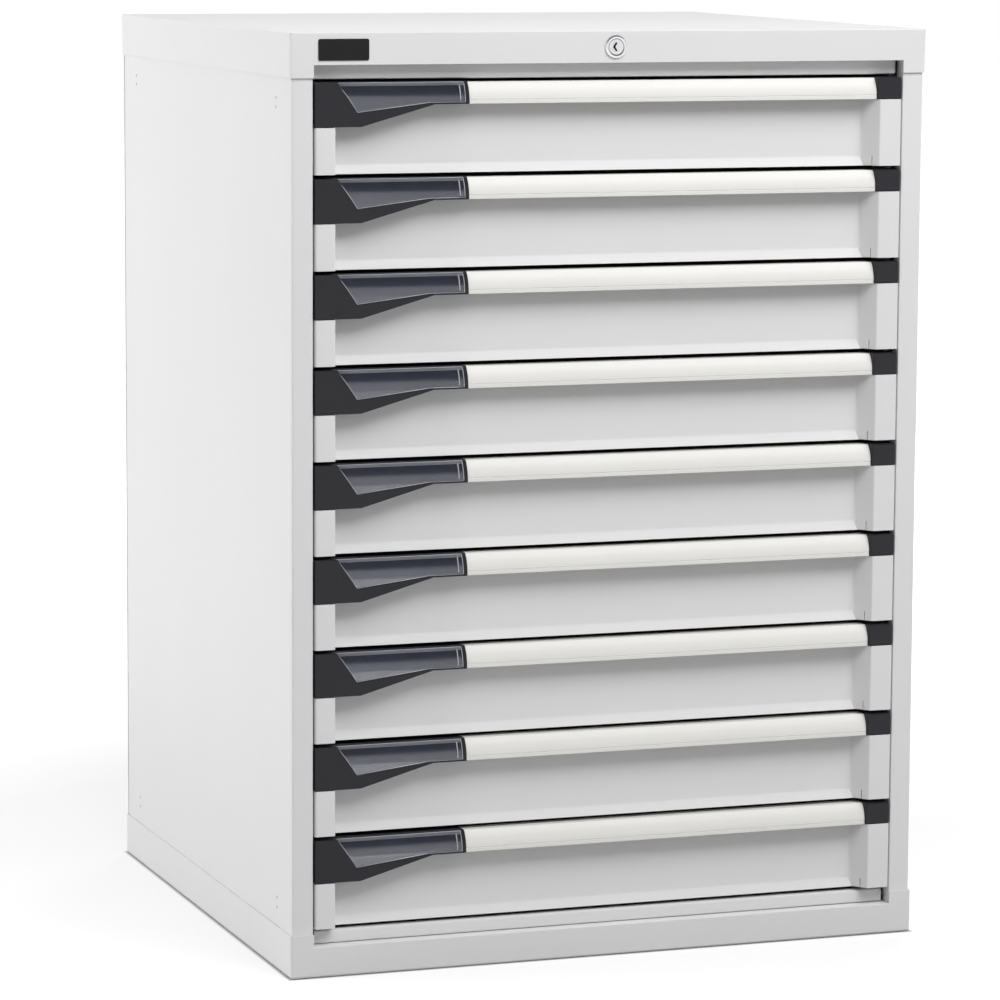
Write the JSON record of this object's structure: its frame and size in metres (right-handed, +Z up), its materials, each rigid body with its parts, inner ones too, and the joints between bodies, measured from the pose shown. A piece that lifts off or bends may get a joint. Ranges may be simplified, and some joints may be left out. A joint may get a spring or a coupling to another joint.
{
  "type": "drawer cabinet",
  "caption": "Light-grey steel workshop cabinet with a stack of lockable full-width drawers, cream grips, dark release levers and label windows",
  "frame": {"origin": "the middle of the cabinet's box, on the floor", "axes": "+Z up, -Y out of the drawer fronts, +X to the right when facing the drawers"},
  "size_m": [0.72, 0.6776, 1],
  "materials": {
    "powder_coat": "fine smooth satin powder coat on folded sheet steel",
    "cream": "smooth semi-gloss coating on an aluminium extrusion",
    "dark_plastic": "fine-textured anthracite moulding",
    "window": "clear plastic cover over a label",
    "chrome": "polished",
    "zinc": "zinc plated"
  },
  "bodies": {
    "cabinet": {"top_cover": "powder_coat", "base_tray": "powder_coat", "left_side_panel": "powder_coat", "right_side_panel": "powder_coat", "back_panel": "powder_coat", "upper_crossbar": "powder_coat", "lower_crossbar": "powder_coat", "left_runner_frame": "powder_coat", "right_runner_frame": "powder_coat", "lock_housing": "chrome"},
    "lock_barrel": {"lock_plug": "chrome", "lock_cam": "zinc"},
    "lock_rod_slide": {"lock_rod": "zinc"},
    "lock_bar_slide": {"locking_bar": "zinc"},
    "drawer_1": {"drawer_tray_1": "powder_coat", "grip_profile_1": "cream", "end_cap_1": "dark_plastic"},
    "release_1": {"release_grip_1": "dark_plastic", "label_window_1": "window"},
    "drawer_2": {"drawer_tray_2": "powder_coat", "grip_profile_2": "cream", "end_cap_2": "dark_plastic"},
    "release_2": {"release_grip_2": "dark_plastic", "label_window_2": "window"},
    "drawer_3": {"drawer_tray_3": "powder_coat", "grip_profile_3": "cream", "end_cap_3": "dark_plastic"},
    "release_3": {"release_grip_3": "dark_plastic", "label_window_3": "window"},
    "drawer_4": {"drawer_tray_4": "powder_coat", "grip_profile_4": "cream", "end_cap_4": "dark_plastic"},
    "release_4": {"release_grip_4": "dark_plastic", "label_window_4": "window"},
    "drawer_5": {"drawer_tray_5": "powder_coat", "grip_profile_5": "cream", "end_cap_5": "dark_plastic"},
    "release_5": {"release_grip_5": "dark_plastic", "label_window_5": "window"},
    "drawer_6": {"drawer_tray_6": "powder_coat", "grip_profile_6": "cream", "end_cap_6": "dark_plastic"},
    "release_6": {"release_grip_6": "dark_plastic", "label_window_6": "window"},
    "drawer_7": {"drawer_tray_7": "powder_coat", "grip_profile_7": "cream", "end_cap_7": "dark_plastic"},
    "release_7": {"release_grip_7": "dark_plastic", "label_window_7": "window"},
    "drawer_8": {"drawer_tray_8": "powder_coat", "grip_profile_8": "cream", "end_cap_8": "dark_plastic"},
    "release_8": {"release_grip_8": "dark_plastic", "label_window_8": "window"},
    "drawer_9": {"drawer_tray_9": "powder_coat", "grip_profile_9": "cream", "end_cap_9": "dark_plastic"},
    "release_9": {"release_grip_9": "dark_plastic", "label_window_9": "window"}
  },
  "joints": [
    {"name": "drawer_1_slide", "type": "slide", "parent": "cabinet", "child": "drawer_1", "axis": [0, -1, 0], "range_m": [0, 0.48]},
    {"name": "release_1_turn", "type": "hinge", "parent": "drawer_1", "child": "release_1", "pos_m": [0, -0.32125, 0.9405], "axis": [-1, 0, 0], "range_deg": [0, 10], "stiffness_Nm_per_rad": 0.05, "springref_deg": -20.05},
    {"name": "drawer_2_slide", "type": "slide", "parent": "cabinet", "child": "drawer_2", "axis": [0, -1, 0], "range_m": [0, 0.48]},
    {"name": "release_2_turn", "type": "hinge", "parent": "drawer_2", "child": "release_2", "pos_m": [0, -0.32125, 0.8405], "axis": [-1, 0, 0], "range_deg": [0, 10], "stiffness_Nm_per_rad": 0.05, "springref_deg": -20.05},
    {"name": "drawer_3_slide", "type": "slide", "parent": "cabinet", "child": "drawer_3", "axis": [0, -1, 0], "range_m": [0, 0.48]},
    {"name": "release_3_turn", "type": "hinge", "parent": "drawer_3", "child": "release_3", "pos_m": [0, -0.32125, 0.7405], "axis": [-1, 0, 0], "range_deg": [0, 10], "stiffness_Nm_per_rad": 0.05, "springref_deg": -20.05},
    {"name": "drawer_4_slide", "type": "slide", "parent": "cabinet", "child": "drawer_4", "axis": [0, -1, 0], "range_m": [0, 0.48]},
    {"name": "release_4_turn", "type": "hinge", "parent": "drawer_4", "child": "release_4", "pos_m": [0, -0.32125, 0.6405], "axis": [-1, 0, 0], "range_deg": [0, 10], "stiffness_Nm_per_rad": 0.05, "springref_deg": -20.05},
    {"name": "drawer_5_slide", "type": "slide", "parent": "cabinet", "child": "drawer_5", "axis": [0, -1, 0], "range_m": [0, 0.48]},
    {"name": "release_5_turn", "type": "hinge", "parent": "drawer_5", "child": "release_5", "pos_m": [0, -0.32125, 0.5405], "axis": [-1, 0, 0], "range_deg": [0, 10], "stiffness_Nm_per_rad": 0.05, "springref_deg": -20.05},
    {"name": "drawer_6_slide", "type": "slide", "parent": "cabinet", "child": "drawer_6", "axis": [0, -1, 0], "range_m": [0, 0.48]},
    {"name": "release_6_turn", "type": "hinge", "parent": "drawer_6", "child": "release_6", "pos_m": [0, -0.32125, 0.4405], "axis": [-1, 0, 0], "range_deg": [0, 10], "stiffness_Nm_per_rad": 0.05, "springref_deg": -20.05},
    {"name": "drawer_7_slide", "type": "slide", "parent": "cabinet", "child": "drawer_7", "axis": [0, -1, 0], "range_m": [0, 0.48]},
    {"name": "release_7_turn", "type": "hinge", "parent": "drawer_7", "child": "release_7", "pos_m": [0, -0.32125, 0.3405], "axis": [-1, 0, 0], "range_deg": [0, 10], "stiffness_Nm_per_rad": 0.05, "springref_deg": -20.05},
    {"name": "drawer_8_slide", "type": "slide", "parent": "cabinet", "child": "drawer_8", "axis": [0, -1, 0], "range_m": [0, 0.48]},
    {"name": "release_8_turn", "type": "hinge", "parent": "drawer_8", "child": "release_8", "pos_m": [0, -0.32125, 0.2405], "axis": [-1, 0, 0], "range_deg": [0, 10], "stiffness_Nm_per_rad": 0.05, "springref_deg": -20.05},
    {"name": "drawer_9_slide", "type": "slide", "parent": "cabinet", "child": "drawer_9", "axis": [0, -1, 0], "range_m": [0, 0.48]},
    {"name": "release_9_turn", "type": "hinge", "parent": "drawer_9", "child": "release_9", "pos_m": [0, -0.32125, 0.1405], "axis": [-1, 0, 0], "range_deg": [0, 10], "stiffness_Nm_per_rad": 0.05, "springref_deg": -20.05},
    {"name": "lock_turn", "type": "hinge", "parent": "cabinet", "child": "lock_barrel", "pos_m": [0, -0.33625, 0.98325], "axis": [0, -1, 0], "range_deg": [0, 90]},
    {"name": "lock_rod_travel", "type": "slide", "parent": "cabinet", "child": "lock_rod_slide", "axis": [1, 0, 0], "range_m": [0, 0.01]},
    {"name": "locking_bar_travel", "type": "slide", "parent": "cabinet", "child": "lock_bar_slide", "axis": [0, 0, -1], "range_m": [0, 0.01]}
  ],
  "couplings": [
    {"joint": "lock_turn", "follows": "locking_bar_travel", "rad_per_m": 157.07},
    {"joint": "lock_rod_travel", "follows": "locking_bar_travel", "ratio": 1}
  ]
}
